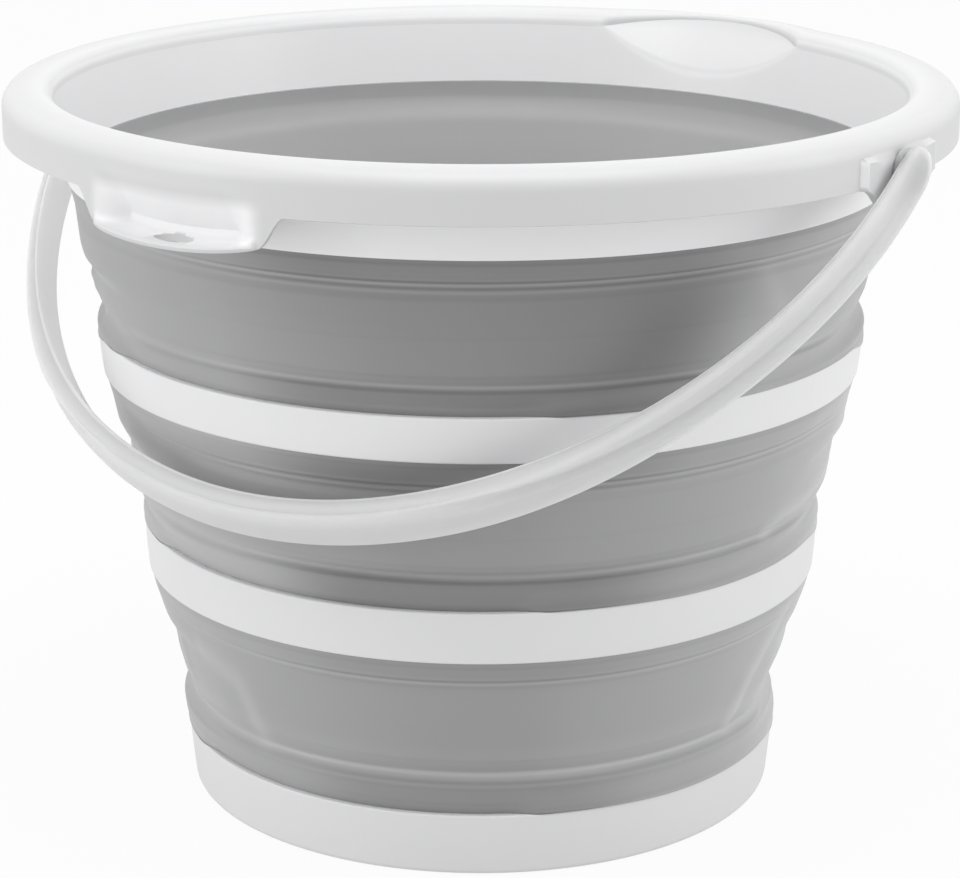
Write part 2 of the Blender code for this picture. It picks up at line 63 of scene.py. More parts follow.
PAD_DROP, PAD_RUN, PAD_WALL = 0.0070, 0.0110, 0.0028
PIVOT_Z = TOP_Z - 0.0125
HOOP_R, HOOP_X, STRAP_W, EAR_R = 0.1650, 0.1630, 0.0150, 0.0076
GRIP_THICK, LIMB_THICK = 0.0082, 0.0043
STUD_R, HEAD_R, HEAD_L, GAP = 0.0036, 0.0048, 0.0024, 0.0003
LEAN = math.radians(50.6)

# The photograph is taken 36 degrees round from the tab, towards the right-hand pivot. The focal
# length and the shift are in pixels of a picture 960 wide
CAMERA_TURN = math.radians(36)
CAMERA_DISTANCE, CAMERA_HEIGHT, CAMERA_PITCH = 1.0336, 0.4284, math.radians(16.685)
PICTURE_W, FOCAL, SHIFT, SENSOR_W = 960, 3105, -0.9, 36.0

# Steps round the turned pieces, and round and down the soft walls
TURN_STEPS, WALL_ROUND, WALL_DOWN = 256, 320, 132
# An edge that turns by more degrees than this stays sharp
RING_SHARP, WALL_SHARP, RIM_SHARP, HANDLE_SHARP = 40, 60, 38, 42


# Colour and node helpers
def linear(code):
    """An sRGB hex code as linear red, green, blue and alpha."""
    parts = [int(code[i:i + 2], 16) / 255 for i in (1, 3, 5)]
    return tuple(p / 12.92 if p <= 0.04045 else ((p + 0.055) / 1.055) ** 2.4
                 for p in parts) + (1.0,)


def add(tree, kind, values=None):
    """Adds a node. Each value is for a property, or for a socket by name or place, where it is a
    plain value or the output of the node that feeds the socket."""
    node = tree.nodes.new(kind)
    for key, value in (values or {}).items():
        if not (isinstance(key, int) or key in node.inputs):
            setattr(node, key, value)
        elif isinstance(value, bpy.types.NodeSocket):
            tree.links.new(value, node.inputs[key])
        else:
            node.inputs[key].default_value = value
    return node


def calc(tree, operation, *values):
    """A math node; its values are numbers or other nodes' outputs."""
    node = add(tree, "ShaderNodeMath", {"operation": operation, **dict(enumerate(values))})
    return node.outputs[0]


def mixed(tree, share, first, second):
    """Two colours mixed by a share from 0 to 1."""
    node = add(tree, "ShaderNodeMix", {"data_type": "RGBA", 0: share, 6: first, 7: second})
    return node.outputs[2]


def noise(tree, place, scale, detail, roughness=0.5):
    """Noise with about as many patches in a metre as its scale."""
    return add(tree, "ShaderNodeTexNoise", {"Scale": scale, "Detail": detail,
                                            "Roughness": roughness, "Vector": place}).outputs["Fac"]


def duller(tree, cloud, low, high):
    """Roughness from low to high, over the middle of a noise's range."""
    return add(tree, "ShaderNodeMapRange", {"From Min": 0.3, "From Max": 0.7, "To Min": low,
                                            "To Max": high, "Value": cloud}).outputs[0]


def surface(name, colour, settings):
    """A new material with its shader's even values set on the shader itself, and the piece's own
    coordinates for its textures."""
    made = bpy.data.materials.new(name)
    made.use_nodes = True
    tree = made.node_tree
    shader = tree.nodes["Principled BSDF"]
    shader.inputs["Base Color"].default_value = linear(colour)
    for key, value in settings.items():
        shader.inputs[key].default_value = value
    return made, tree, shader, add(tree, "ShaderNodeTexCoord").outputs["Object"]


def white_polypropylene(name, colour, warmer, painted_light, roughness, peel, more=None):
    """Injection-moulded polypropylene: milky white, soft gloss, with the faint waviness of a
    polished mould and a gloss that handling has left a little uneven. The attribute
    painted_light_share
    paints light on it: it moves the colour towards the paler colour thin, as painted light
    through the wall and painted light where shade falls."""
    settings = {"IOR": 1.49, "Specular IOR Level": 0.5, **(more or {})}
    made, tree, shader, place = surface(name, colour, settings)
    # Cloudy flow of the melt, patches about 35 mm across
    cloud = noise(tree, place, 28.0, 3.0, 0.55)
    tint = mixed(tree, cloud, linear(colour), linear(warmer))
    # Painted light: the share of the paler colour, from the attribute
    lit = add(tree, "ShaderNodeAttribute", {"attribute_name": "painted_light_share"}).outputs["Fac"]
    tree.links.new(mixed(tree, lit, tint, linear(painted_light)), shader.inputs["Base Color"])
    # Rubbed patches, rougher by up to 15 in a hundred
    rough = duller(tree, cloud, roughness, roughness * 1.15)
    tree.links.new(rough, shader.inputs["Roughness"])
    # Orange peel of the moulded skin, ripples about 3 mm across
    bump = add(tree, "ShaderNodeBump", {"Strength": peel, "Distance": 0.0001,
                                        "Height": noise(tree, place, 330.0, 2.0)})
    tree.links.new(bump.outputs[0], shader.inputs["Normal"])
    return made


def grey_soft_rubber(name, colour, dusty, stretched_and_lit):
    """Thermoplastic rubber moulded against a fine spark-eroded tool: matt grey, a soft wide sheen,
    a little dust on it, and a colour from grey to pale set by the attribute
    stretch_and_painted_light, which holds painted light, painted shade and painted highlights, and
    a little paling where it is stretched."""
    made, tree, shader, place = surface(name, colour, {
        "IOR": 1.5, "Specular IOR Level": 0.5, "Sheen Weight": 0.30, "Sheen Roughness": 0.45})
    # Dust and handling marks, patches about 25 mm across
    cloud = noise(tree, place, 40.0, 5.0, 0.6)
    tint = mixed(tree, cloud, linear(colour), linear(dusty))
    # Painted light and shade, with stretch paling, from the attribute
    light_and_stretch_share = add(tree, "ShaderNodeAttribute", {"attribute_name": "stretch_and_painted_light"}).outputs["Fac"]
    tree.links.new(mixed(tree, light_and_stretch_share, tint, linear(stretched_and_lit)), shader.inputs["Base Color"])
    tree.links.new(duller(tree, cloud, 0.40, 0.54), shader.inputs["Roughness"])
    # Slack of the soft wall, shallow ripples about 30 mm across
    slack = add(tree, "ShaderNodeBump", {"Strength": 0.35, "Distance": 0.0012,
                                         "Height": noise(tree, place, 33.0, 1.0)})
    # Tool grain, drawn 0.9 mm across so that it shows
    grain = add(tree, "ShaderNodeBump", {"Strength": 0.30, "Distance": 0.0001,
                                         "Height": noise(tree, place, 1100.0, 2.0, 0.6),
                                         "Normal": slack.outputs[0]})
    tree.links.new(grain.outputs[0], shader.inputs["Normal"])
    return made


# The last colour of each white is the paler colour of its painted light
RIM_WHITE = white_polypropylene("polypropylene_white_gloss", "#CCCCCD", "#C9C9CA", "#F0F0F1",
                                0.34, 0.10)
RING_WHITE = white_polypropylene("polypropylene_white_satin", "#D9D9DA", "#D6D6D7", "#F0F0F1",
                                 0.42, 0.14)
# The thick handle glows within, over 25 mm
HANDLE_WHITE = white_polypropylene("polypropylene_white_handle", "#BFBFC0", "#BCBCBD", "#ECECED",
                                   0.42, 0.14, {"Subsurface Weight": 0.9,
                                                "Subsurface Radius": (1.0, 1.0, 1.0),
                                                "Subsurface Scale": 0.025})
RUBBER_GREY = grey_soft_rubber("thermoplastic_rubber_grey", "#6B6B6C", "#717172", "#B4B4B5")


# Mesh helpers
def shade(mesh, sharp):
    """Smooth shading but for the edges that turn by more than sharp degrees."""
    mesh.shade_smooth()
    mesh.set_sharp_from_angle(angle=math.radians(sharp))


def finish_mesh(name, mesh, material, sharp):
    """Joins doubled points, turns the faces outwards and makes the mesh an object."""
    bm = bmesh.new()
    bm.from_mesh(mesh)
    bmesh.ops.remove_doubles(bm, verts=bm.verts, dist=1e-6)
    bmesh.ops.recalc_face_normals(bm, faces=bm.faces)
    bm.to_mesh(mesh)
    bm.free()
    mesh.materials.clear()
    mesh.materials.append(material)
    shade(mesh, sharp)
    made = bpy.data.objects.new(name, mesh)
    bpy.context.scene.collection.objects.link(made)
    return made


def skin(name, rows, material, sharp, closed=True, tones=None):
    """Faces between rows of points, each row a closed loop. Closed joins the last row to the
    first, and otherwise both ends get a cap; tones are an attribute's name and its value at each
    point."""
    rows = np.asarray(rows, float)
    count, across = rows.shape[:2]
    faces = []
    for i in range(count if closed else count - 1):
        a, b = i * across, ((i + 1) % count) * across
        for j in range(across):
            k = (j + 1) % across
            faces.append((a + j, a + k, b + k, b + j))
    if not closed:
        faces.append(tuple(range(across)))
        faces.append(tuple(range((count - 1) * across, count * across))[::-1])
    mesh = bpy.data.meshes.new(name)
    mesh.from_pydata(rows.reshape(-1, 3).tolist(), [], faces)
    if tones:
        values = np.asarray(tones[1], np.float32).ravel()
        mesh.attributes.new(tones[0], "FLOAT", "POINT").data.foreach_set("value", values)
    return finish_mesh(name, mesh, material, sharp)


# Curves
def soft_step(x):
    """From 0 at 0 to 1 at 1, level at both ends."""
    x = np.clip(x, 0.0, 1.0)
    return x * x * (3 - 2 * x)


def rise(value, start, width):
    """From 0 at start to 1 a width further on."""
    return soft_step((value - start) / width)


def fall(value, end, width):
    """From 1 to 0 at end, over a width."""
    return soft_step((end - value) / width)


def bell(distance, width):
    """A bell curve's height at a distance from its middle."""
    return np.exp(-0.5 * (distance / width) ** 2)


def bow(start, corner, end, t):
    """A point on the curve from start to end that leans to the corner."""
    return start * (1 - t) ** 2 + corner * 2 * t * (1 - t) + end * t * t


def arc(cr, cz, w, h, start, end, count):
    """Points along an elliptical arc in the half section, angles in degrees."""
    angles = np.radians(np.linspace(start, end, count))
    return [(cr + w * math.cos(a), cz + h * math.sin(a)) for a in angles]


def rounded(points, radii, steps):
    """Rounds each corner of a closed section by its own length."""
    most = 0.45
    out = []
    for i, (point, radius) in enumerate(zip(points, radii)):
        following = points[(i + 1) % len(points)]
        p, before, after = (Vector(q) for q in (point, points[i - 1], following))
        if radius <= 0:
            out.append(tuple(p))
            continue
        one, two = before - p, after - p
        reach = min(radius, one.length * most, two.length * most)
        start, end = p + one.normalized() * reach, p + two.normalized() * reach
        out += [tuple(bow(start, p, end, k / steps)) for k in range(steps + 1)]
    return out


# Turned pieces: a tree that turns a half section about the bucket's axis
def turning_tree():
    """A grid with one row of points for each step round, each row laid along the section and
    turned; doubled points are then joined."""
    tree = bpy.data.node_groups.new("turned_about_axis", "GeometryNodeTree")
    for name, kind in (("Section", "Geometry"), ("Section Points", "Int"), ("Steps", "Int"),
                       ("Finish", "Material")):
        tree.interface.new_socket(name, in_out="INPUT", socket_type="NodeSocket" + kind)
    tree.interface.new_socket("Turned", in_out="OUTPUT", socket_type="NodeSocketGeometry")
    given = add(tree, "NodeGroupInput").outputs
    rows = calc(tree, "ADD", given["Section Points"], 1.0)
    turns = calc(tree, "ADD", given["Steps"], 1.0)
    grid = add(tree, "GeometryNodeMeshGrid", {"Size X": 1.0, "Size Y": 1.0, "Vertices X": turns,
                                              "Vertices Y": rows})
    index = add(tree, "GeometryNodeInputIndex").outputs[0]
    step = calc(tree, "FLOOR", calc(tree, "DIVIDE", index, rows))
    along = calc(tree, "MODULO", calc(tree, "MODULO", index, rows), given["Section Points"])
    place = add(tree, "GeometryNodeInputPosition").outputs[0]
    point = add(tree, "GeometryNodeSampleIndex", {
        "data_type": "FLOAT_VECTOR", "Geometry": given["Section"], "Value": place, "Index": along})
    angle = calc(tree, "MULTIPLY", calc(tree, "DIVIDE", step, given["Steps"]), 2 * math.pi)
    turned_point = add(tree, "ShaderNodeVectorRotate", {
        "rotation_type": "Z_AXIS", "Vector": point.outputs["Value"], "Angle": angle})
    moved = add(tree, "GeometryNodeSetPosition", {"Geometry": grid.outputs[0],
                                                  "Position": turned_point.outputs[0]})
    joined = add(tree, "GeometryNodeMergeByDistance", {"Distance": 1e-6,
                                                       "Geometry": moved.outputs[0]})
    real = add(tree, "GeometryNodeRealizeInstances", {"Geometry": joined.outputs[0]})
    painted = add(tree, "GeometryNodeSetMaterial", {"Geometry": real.outputs[0],
                                                    "Material": given["Finish"]})
    add(tree, "NodeGroupOutput", {"Turned": painted.outputs[0]})
    return tree


TURNING = turning_tree()


def turned(name, section, painted_light=0.0):
    """One rigid white piece from its closed half section; thin says how much painted light it gets.
    """
    count = len(section)
    mesh = bpy.data.meshes.new(name + "_section")
    mesh.from_pydata([(r, 0.0, z) for r, z in section],
                     [(i, (i + 1) % count) for i in range(count)], [])
    holder = bpy.data.objects.new(name + "_section", mesh)
    bpy.context.scene.collection.objects.link(holder)
    modifier = holder.modifiers.new("turned", "NODES")
    modifier.node_group = TURNING
    values = {"Section Points": count, "Steps": TURN_STEPS, "Finish": RING_WHITE}
    for item in TURNING.interface.items_tree:
        if item.in_out == "INPUT" and item.name in values:
            modifier[item.identifier] = values[item.name]
    graph = bpy.context.evaluated_depsgraph_get()
    made = bpy.data.meshes.new_from_object(holder.evaluated_get(graph))
    holder.modifiers.clear()
    bpy.data.objects.remove(holder)
    lit = made.attributes.new("painted_light_share", "FLOAT", "POINT")
    lit.data.foreach_set("value", [painted_light] * len(made.vertices))
    return finish_mesh(name, made, RING_WHITE, RING_SHARP)


def base_section():
    """The cup: its top edge, the outside, the foot, the floor and the inner corner, which stands
    in by the draft of the mould."""
    draft = 0.001
    points = [(BASE_TOP_R - WALL, BASE_H), (BASE_TOP_R, BASE_H), (FOOT_R, 0.0), (0.0, 0.0),
              (0.0, FLOOR_WALL), (FOOT_R - WALL - draft, FLOOR_WALL)]
    return rounded(points, [0.0004, 0.0008, 0.0022, 0.0, 0.0, 0.0040], 6)


def ring_section(foot_r, foot_z, top_r, top_z):
    """A rigid ring, whose outside swells a little between its edges."""
    swell = 0.0002
    middle = ((foot_r + top_r) / 2 + swell, (foot_z + top_z) / 2)
    points = [(top_r, top_z), middle, (foot_r, foot_z), (foot_r - WALL, foot_z),
              (top_r - WALL, top_z)]
    return rounded(points, [0.0008, 0.006, 0.0008, 0.0004, 0.0004], 5)


base = turned("base_cup", base_section())
# Painted light: both rings are painted a little paler, the middle one more, where the handle shades
# it
lower_ring = turned("lower_rigid_ring",
                    ring_section(LOW_FOOT_R, LOW_FOOT_Z, LOW_TOP_R, LOW_TOP_Z), painted_light=0.1)
middle_ring = turned("middle_rigid_ring",
                     ring_section(MID_FOOT_R, MID_FOOT_Z, MID_TOP_R, MID_TOP_Z), painted_light=0.35)

# Folding walls. Each table gives shares of the way down from the upper ring to the lower one, and
# how many millimetres the skin stands in from the straight cone there: level folds in front, and
# folds that have given way at the sides
UPPER_FRONT = ((0.0, 0.5), (0.03, 0.5), (0.10, 1.9), (0.140, 2.5), (0.150, 2.3), (0.165, 3.4),
               (0.19, 2.9), (0.215, 3.3), (0.26, 2.7), (0.50, 1.3), (0.74, 1.0), (0.79, 1.5),
               (0.805, 1.7), (0.835, 0.5), (0.87, 0.9), (0.95, 2.1), (1.0, 2.2))
UPPER_SIDE = ((0.0, 0.5), (0.03, 0.5), (0.15, 0.9), (0.40, 0.0), (0.47, 0.2), (0.54, 2.4),
              (0.62, 1.9), (0.70, 2.1), (0.80, 3.4), (0.835, 4.0), (0.88, 2.8), (0.95, 2.2),
              (1.0, 2.2))
MIDDLE_FRONT = ((0.0, 0.5), (0.03, 0.5), (0.11, 2.0), (0.150, 2.7), (0.165, 2.4), (0.185, 3.5),
                (0.205, 2.9), (0.23, 3.2), (0.28, 2.6), (0.52, 1.5), (0.70, 1.5), (0.745, 2.2),
                (0.765, 2.6), (0.80, 0.5), (0.83, 0.7), (0.95, 2.1), (1.0, 2.2))
MIDDLE_SIDE = ((0.0, 0.5), (0.03, 0.5), (0.15, 0.7), (0.30, 0.4), (0.36, 1.3), (0.41, 2.9),
               (0.48, 2.2), (0.59, 1.2), (0.70, 0.8), (0.80, 1.2), (0.86, 2.2), (0.90, 1.5),
               (1.0, 2.2))
LOWER_FRONT = ((0.0, 0.5), (0.03, 0.5), (0.08, 1.4), (0.12, 2.1), (0.130, 1.9), (0.150, 3.0),
               (0.17, 2.7), (0.24, 2.6), (0.45, 2.6), (0.66, 3.0), (0.72, 3.8), (0.75, 4.1),
               (0.79, 1.0), (0.83, 0.6), (0.93, 1.1), (1.0, 2.2))
LOWER_SIDE = ((0.0, 0.5), (0.05, 0.4), (0.10, 0.5), (0.17, 1.0), (0.25, 1.7), (0.33, 3.4),
              (0.42, 3.2), (0.50, 2.9), (0.62, 3.2), (0.70, 3.9), (0.74, 4.7), (0.78, 3.1),
              (0.84, 0.4), (0.93, 0.0), (1.0, 2.2))
# What the right-hand side is pinched in besides
UPPER_PINCH = ((0.0, 0.0), (0.80, 0.0), (0.90, 1.2), (1.0, 0.4))
MIDDLE_PINCH = ((0.0, 0.0), (0.70, 0.0), (0.84, 1.4), (1.0, 0.6))
LOWER_PINCH = ((0.0, 0.0), (0.45, 0.0), (0.62, 1.8), (0.78, 2.2), (0.93, 1.6), (1.0, 0.6))

# Painted light and shade on the rubber, from grey at 0 to stretched at 1. ROUND is the wall's
# painted tone by degrees round from the photograph's view: painted shade across the front and
# painted light towards the sides. DOWN is how far it shows by share of the way down, in place of
# the painted shade of the shoulder and foot. The inner skin has one tone all round, painted light,
# a little darker just under the rim
UPPER_DOWN = ((0.0, 0.0), (0.14, 0.0), (0.21, 0.75), (0.28, 1.1), (0.38, 1.0), (0.76, 1.0),
              (0.82, 0.0), (1.0, 0.0))
UPPER_ROUND = ((-180, 0.50), (-95, 0.52), (-70, 0.55), (-38, 0.57), (-27, 0.44), (-12, 0.30),
               (4, 0.26), (15, 0.21), (23, 0.15), (28, 0.20), (34, 0.48), (40, 0.74), (52, 0.74),
               (75, 0.66), (95, 0.60), (180, 0.50))
MIDDLE_DOWN = ((0.0, 0.2), (0.16, 0.2), (0.26, 1.0), (0.72, 1.0), (0.80, 0.0), (1.0, 0.0))
MIDDLE_ROUND = ((-180, 0.50), (-95, 0.55), (-60, 0.80), (-45, 0.80), (-25, 0.62), (-10, 0.46),
                (6, 0.45), (14, 0.50), (30, 0.54), (45, 0.60), (62, 0.72), (76, 0.95), (95, 0.90),
                (180, 0.50))
LOWER_DOWN = ((0.0, 0.7), (0.12, 0.7), (0.22, 1.0), (0.55, 1.0), (0.66, 1.2), (0.78, 1.1),
              (0.83, 0.45), (1.0, 0.45))
LOWER_ROUND = ((-180, 0.50), (-95, 0.55), (-62, 0.62), (-30, 0.55), (-8, 0.47), (8, 0.48),
               (16, 0.56), (25, 0.60), (45, 0.65), (60, 0.78), (75, 0.95), (95, 0.90), (180, 0.50))
INNER_DOWN = ((0.0, 0.62), (0.10, 0.58), (0.15, 0.90), (0.30, 0.98), (1.0, 0.88))
# Painted shade of the shoulder and foot, and the tone of the hidden lap
SHOULDER_TONE, HIDDEN_TONE = 0.19, 0.3

# Slack creases: degrees round and share of the way down along each, then its width and height in
# millimetres
UPPER_CREASES = ((((-80, 0.62), (-77, 0.83)), 2.2, 0.7), (((41, 0.24), (45, 0.58)), 5.0, 0.5))
MIDDLE_CREASES = ((((80, 0.35), (72, 0.55), (63, 0.66), (55, 0.69), (51, 0.75)), 3.0, 1.0),
                  (((-70, 0.30), (-52, 0.52)), 5.0, 0.7))
LOWER_CREASES = ((((66, 0.12), (60, 0.28), (56, 0.42), (52, 0.70)), 3.4, 1.0),
                 (((-58, 0.26), (-52, 0.32), (-47, 0.38), (-45, 0.53), (-43.5, 0.69)), 4.5, 0.6),
                 (((-74, 0.20), (-70, 0.52)), 4.0, 0.7))


def smoothed(table, shares, width, low=0.0, high=1.0):
    """The table, which runs from low to high, read along the shares, with its corners eased over
    width shares."""
    step, side = 0.001, 40
    fine = np.linspace(-0.1, 1.1, 1201)
    places, values = zip(*table)
    read = np.interp(low + fine * (high - low), places, values)
    kernel = bell(np.arange(-side, side + 1) * step, width)
    kernel /= kernel.sum()
    eased = np.convolve(np.pad(read, side, mode="edge"), kernel, mode="valid")
    return np.interp(shares, fine, eased).reshape(shares.shape)


def wander(angle, seed, size):
    """A slow, repeatable wave round the bucket."""
    maker = np.random.default_rng(seed)
    total = np.zeros_like(angle)
    for k in range(2, 8):
        total += maker.normal() / k * np.cos(k * angle + maker.uniform(0, 2 * np.pi))
    return size * total


def degrees_from_view(angle):
    """Degrees round from the photograph's view, to the right."""
    off = angle - CAMERA_TURN + np.pi / 2
    return np.degrees(np.arctan2(np.sin(off), np.cos(off)))


def near_line(across, along, line):
    """Distance in the flat from each point to a line of straight stretches."""
    least = np.full(np.broadcast(across, along).shape, 1e3)
    for (x0, y0), (x1, y1) in zip(line[:-1], line[1:]):
        dx, dy = x1 - x0, y1 - y0
        t = np.clip(((across - x0) * dx + (along - y0) * dy) / (dx * dx + dy * dy), 0, 1)
        least = np.minimum(least, np.hypot(across - x0 - t * dx, along - y0 - t * dy))
    return least


def folds(turned_by, moved, give, tables):
    """How many millimetres the folds stand in. Level folds are washed out where the wall is slack,
    more on the left of the front than on the right, and give way to the sides' own."""
    front, side, pinch = tables
    slack = rise(-turned_by, 24, 30) + 0.35 * rise(turned_by, 35, 25)
    slack = slack * (1 - rise(np.abs(turned_by), 130, 25))
    level = smoothed(front, moved, 0.0055) * (1 - 0.8 * slack)
    level = level + smoothed(front, moved, 0.026) * 0.8 * slack
    dipped = smoothed(side, moved, 0.009) + smoothed(pinch, moved, 0.02) * rise(turned_by, 50, 20)
    return level * (1 - give) + dipped * give


def crease_ridges(turned_by, share, radius, fall_z, creases):
    """How many millimetres the creases stand out from the slack panel."""
    arc_mm, down_mm = radius * 1000, fall_z * 1000
    ridge = np.zeros(np.broadcast(turned_by, share).shape)
    for line, width, height in creases:
        flat = [(math.radians(turn) * arc_mm, part * down_mm) for turn, part in line]
        away = near_line(np.radians(turned_by) * arc_mm, share * down_mm, flat)
        ridge = np.maximum(ridge, height * np.exp(-(away / width) ** 2))
    return ridge


def inner_skin(depth, share):
    """The inner skin's depth: calmer than the outer one, and never less deep."""
    place = np.arange(share.size)
    ease = bell(place[:, None] - place[None, :], 4.5)
    ease /= ease.sum(axis=0)
    plain = 3.7 * rise(share, 0, 0.16) - 1.5 * rise(share, 0.8, 0.2)
    return np.maximum(np.maximum(depth, plain) @ ease, depth)


def foot_roll(turned_by, hang):
    """Where the foot rolls out over the ring below, 0 to 1, and how many metres it hangs there."""
    left_side, right_front, right_side = hang
    off = np.abs(turned_by)
    rolled = (rise(-turned_by, 60, 8) + rise(turned_by, 4, 8)) * (1 - rise(off, 134, 10))
    down = left_side * rise(-turned_by, 70, 15) + right_front * rise(turned_by, 12, 30)
    down = (down + right_side * rise(turned_by, 68, 16)) * (1 - rise(off, 100, 32))
    return rolled, down / 1000


def wall_tones(depth, ridge, turned_by, moved, down, around):
    """Painted light and shade: painted highlights where the skin turns outwards over a fold and
    along a crease, which stretch pales a little too, painted light on the slack panel towards the
    sides, and painted shade in the shoulder and foot, in the folds and across the front."""
    bend = -np.gradient(np.gradient(depth, axis=1), axis=1)
    bend = np.clip(bend / np.percentile(np.abs(bend), 99.3), -1, 1)
    reach = 200
    panel = smoothed(around, turned_by / (2 * reach) + 0.5, 0.006, -reach, reach)
    shows = smoothed(down, moved, 0.012)
    # At the sides, where the whole wall is slack, the shoulder and foot get the panel's painted
    # light too
    spread = rise(-turned_by, 18, 20) + 0.9 * rise(turned_by, 14, 22)
    spread = np.clip(1 - shows, 0, 1) * spread * (1 - rise(np.abs(turned_by), 130, 20))
    plain = SHOULDER_TONE + (panel - SHOULDER_TONE) * (shows + spread)
    # Painted highlight over the outward bends and along the creases, painted shade in the folds
    return np.clip(plain + bend * 0.26 + ridge * 0.30, 0, 1)


def soft_wall(name, upper, lower, looks, hang, seed):
    """One folding wall. Near the photograph's two sides the fold gives way and dips, as the slack
    wall does in use, and its foot rolls down over the ring; elsewhere its folds run level with a
    slight wander. Hang is how many millimetres the roll reaches down over the ring: at the
    left-hand side, along the right of the front, and at the right-hand side."""
    (upper_r, upper_z), (lower_r, lower_z) = upper, lower
    front, side, pinch, down, around, creases = looks
    angle = np.linspace(0, 2 * np.pi, WALL_ROUND, endpoint=False)[:, None]
    share = np.linspace(0, 1, WALL_DOWN)[None, :]
    turned_by = degrees_from_view(angle)
    off = np.abs(turned_by)

    # The fold gives way from about 56 degrees off the view, sooner low down, and not at the back
    give = soft_step((off + wander(angle, seed, 5.0) - 56 + 10 * (share - 0.5)) / 22)
    give = give * (1 - rise(off, 120, 25))
    middle = np.sin(np.pi * share)
    moved = share + wander(angle, seed + 1, 0.006) * middle
    depth = folds(turned_by, moved, give, (front, side, pinch))
    depth = depth + wander(angle, seed + 2, 0.10) * middle
    ridge = crease_ridges(turned_by, share, upper_r, upper_z - lower_z, creases)
    depth = depth - ridge * middle
    inner = inner_skin(depth, share)
    rolled, hang_down = foot_roll(turned_by, hang)
    out = rolled * rise(share, 0.86, 0.12)
    depth = depth * (1 - out) - 0.1 * out

    cone = upper_r + (lower_r - upper_r) * share
    height = np.broadcast_to(upper_z + (lower_z - upper_z) * share, depth.shape)
    radius, inner_r = cone - depth / 1000, cone - inner / 1000 - SOFT_WALL
    tone = wall_tones(depth, ridge, turned_by, moved, down, around)
    # Every second point will do for the inner skin, which runs back up
    pick = np.arange(WALL_DOWN - 1, -1, -2)
    inner_tone = np.broadcast_to(smoothed(INNER_DOWN, share[0, pick], 0.02),
                                 (WALL_ROUND, pick.size))

    def ring(r, z, shade_of=HIDDEN_TONE):
        return [np.full((WALL_ROUND, 1), value) for value in (r, z, shade_of)]

    # Down the outside, round the roll, under the ring's edge and up the inside, each step with
    # its radius, height and tone; a lap at both ends goes behind the rings
    lap, seam, inset = 0.0045, 0.0002, 0.0014
    columns = [ring(upper_r - inset, upper_z + lap), ring(upper_r - inset, upper_z + seam),
               (radius, height, tone)]
    foot_r, foot_tone, hidden = radius[:, -1:], tone[:, -1:], np.full((WALL_ROUND, 1), HIDDEN_TONE)
    for swell, reach, seen in ((0.0001, 0.30, foot_tone), (0.0002, 0.60, foot_tone),
                               (0.0001, 0.86, foot_tone), (-0.0002, 1.0, foot_tone),
                               (-0.0007, 0.94, hidden), (-0.0007, 0.05, hidden)):
        columns.append((foot_r + rolled * swell, lower_z - hang_down * reach, seen))
    columns += [ring(lower_r - inset, lower_z - seam), ring(lower_r - inset, lower_z - lap),
                ring(lower_r - 0.0030, lower_z - lap),
                (inner_r[:, pick], height[:, pick], inner_tone),
                ring(upper_r - 0.0021, upper_z + lap, INNER_DOWN[0][1])]
    r, z, light_and_stretch_tones = (np.hstack([column[i] for column in columns]) for i in range(3))
    rows = np.stack([r * np.cos(angle), r * np.sin(angle), z], -1)
    return skin(name, rows, RUBBER_GREY, WALL_SHARP, tones=("stretch_and_painted_light", light_and_stretch_tones))


upper_wall = soft_wall(
    "upper_folding_wall", (BAND_R, BAND_Z), (MID_TOP_R, MID_TOP_Z),
    (UPPER_FRONT, UPPER_SIDE, UPPER_PINCH, UPPER_DOWN, UPPER_ROUND, UPPER_CREASES),
    hang=(4.0, 1.2, 5.0), seed=11)
middle_wall = soft_wall(
    "middle_folding_wall", (MID_FOOT_R, MID_FOOT_Z), (LOW_TOP_R, LOW_TOP_Z),
    (MIDDLE_FRONT, MIDDLE_SIDE, MIDDLE_PINCH, MIDDLE_DOWN, MIDDLE_ROUND, MIDDLE_CREASES),
    hang=(1.5, 1.1, 4.0), seed=23)
lower_wall = soft_wall(
    "lower_folding_wall", (LOW_FOOT_R, LOW_FOOT_Z), (BASE_TOP_R, BASE_H),
    (LOWER_FRONT, LOWER_SIDE, LOWER_PINCH, LOWER_DOWN, LOWER_ROUND, LOWER_CREASES),
    hang=(0.8, 0.9, 3.0), seed=37)


# Rim, whose section changes along the spout, the hanging tab and the pivot pads
def wrapped(angle):
    return math.atan2(math.sin(angle), math.cos(angle))


def mouth_radius(level):
    """Radius of the mouth's inner wall at a height."""
    foot = BAND_R - WALL
    return foot + (MOUTH_R - foot) * (level - BAND_Z) / (TOP_Z - LIP_ROUND - BAND_Z)


def tab_face(face_r, round_z, foot_z, hollow, lip, plate):
    """The skirt's outer face from under the round down to the foot. At the tab it goes in by the
    hollow and comes out again over a fillet and the shelf's plate, as far as lip, 0 to 1, says."""
    root_r = face_r - hollow
    tip_r = face_r + (TAB_REACH + EDGE) * lip
    drop = round_z - foot_z
    face = [(face_r, round_z - max(PAD_STEP, drop * 0.12))]
    for inward, down in ((0.17, 0.25), (0.45, 0.45), (0.72, 0.62)):
        face.append((face_r - hollow * inward, round_z - drop * down))
    face.append((root_r + FILLET * 0.02 * lip, foot_z + plate + drop * 0.16))
    for out, up, above in ((0.16, 0.15, 0.55), (0.42, 0.13, 0.24), (0.95, 0.10, 0.05)):
        face.append((root_r + FILLET * out * lip,
                     foot_z + plate + drop * up * (1 - lip) + FILLET * above * lip))
    return face + [(tip_r - EDGE * 0.6 * lip, foot_z + plate),
                   (tip_r, foot_z + plate * (1 - 0.25 * lip)), (tip_r, foot_z + plate * 0.3),
                   (tip_r - EDGE * 0.5, foot_z)]


